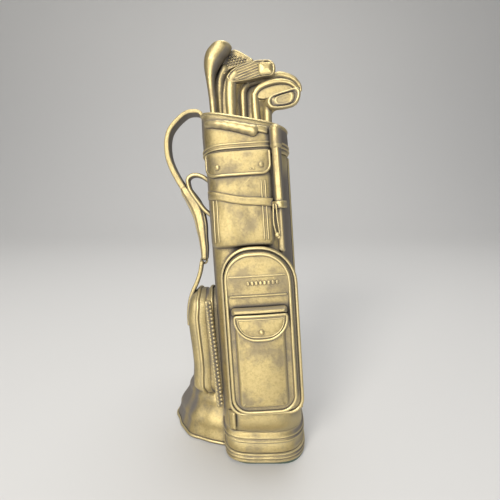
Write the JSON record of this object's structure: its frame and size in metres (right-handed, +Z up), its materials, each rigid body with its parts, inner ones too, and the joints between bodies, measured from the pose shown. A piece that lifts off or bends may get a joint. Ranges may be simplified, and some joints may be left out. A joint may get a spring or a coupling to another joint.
{
  "type": "golf bag ornament",
  "caption": "Standing table ornament in antique brass, shaped as a full golf bag with clubs, umbrella, shoulder strap and pockets, on a felted foot.",
  "frame": {"origin": "middle of the felt underside of the foot, where the ornament stands on a table", "axes": "+Z up, -Y towards the side with the large pocket, +X to the viewer's right; the bag leans back and to the left above its level foot"},
  "size_m": [0.0729, 0.0714, 0.2034],
  "materials": {
    "brass_rubbed": "antique, rubbed bright on the high spots",
    "brass_dark": "antique, dark patina",
    "felt": "felt",
    "steel_plate": "dull"
  },
  "bodies": {
    "root": {"barrel_shell": "brass_rubbed", "base_boot": "brass_rubbed", "base_plate": "steel_plate", "belt": "brass_rubbed", "belt_tail": "brass_dark", "boot_top_band": "brass_rubbed", "braided_strip": "brass_rubbed", "carry_grip": "brass_rubbed", "carry_handle": "brass_rubbed", "club_deck": "brass_dark", "club_dotted_iron": "brass_rubbed", "club_driver": "brass_rubbed", "club_grooved_iron": "brass_rubbed", "club_hooked_iron": "brass_rubbed", "club_long_iron": "brass_rubbed", "club_slot_iron": "brass_rubbed", "collar": "brass_rubbed", "collar_ledge": "brass_rubbed", "collar_seam": "brass_rubbed", "draped_hood": "brass_dark", "felt_pad": "felt", "flap_studs": "brass_rubbed", "foot_ring": "brass_rubbed", "front_pocket_gusset": "brass_rubbed", "front_pocket_panel": "brass_rubbed", "grip_tab": "brass_rubbed", "gusset_piping": "brass_rubbed", "hood_hem": "brass_dark", "label_band": "brass_rubbed", "label_beads": "brass_rubbed", "lower_tab": "brass_rubbed", "padded_roll": "brass_rubbed", "panel_piping": "brass_rubbed", "pocket_welt_left": "brass_rubbed", "pocket_welt_right": "brass_rubbed", "pouch": "brass_rubbed", "pouch_flap": "brass_rubbed", "pouch_flap_piping": "brass_rubbed", "pouch_snap": "brass_rubbed", "rear_spine": "brass_dark", "rim_bead": "brass_rubbed", "shoulder_strap": "brass_rubbed", "side_piping": "brass_rubbed", "side_pocket": "brass_rubbed", "side_pocket_piping_far": "brass_rubbed", "side_pocket_piping_near": "brass_rubbed", "strap_pad": "brass_rubbed", "strap_ring": "brass_rubbed", "strap_webbing": "brass_dark", "umbrella_cap": "brass_dark", "umbrella_ring": "brass_rubbed", "umbrella_roll": "brass_rubbed", "umbrella_stem": "brass_dark", "upper_flap": "brass_rubbed", "upper_flap_piping": "brass_rubbed", "upper_pocket": "brass_rubbed"}
  },
  "joints": []
}
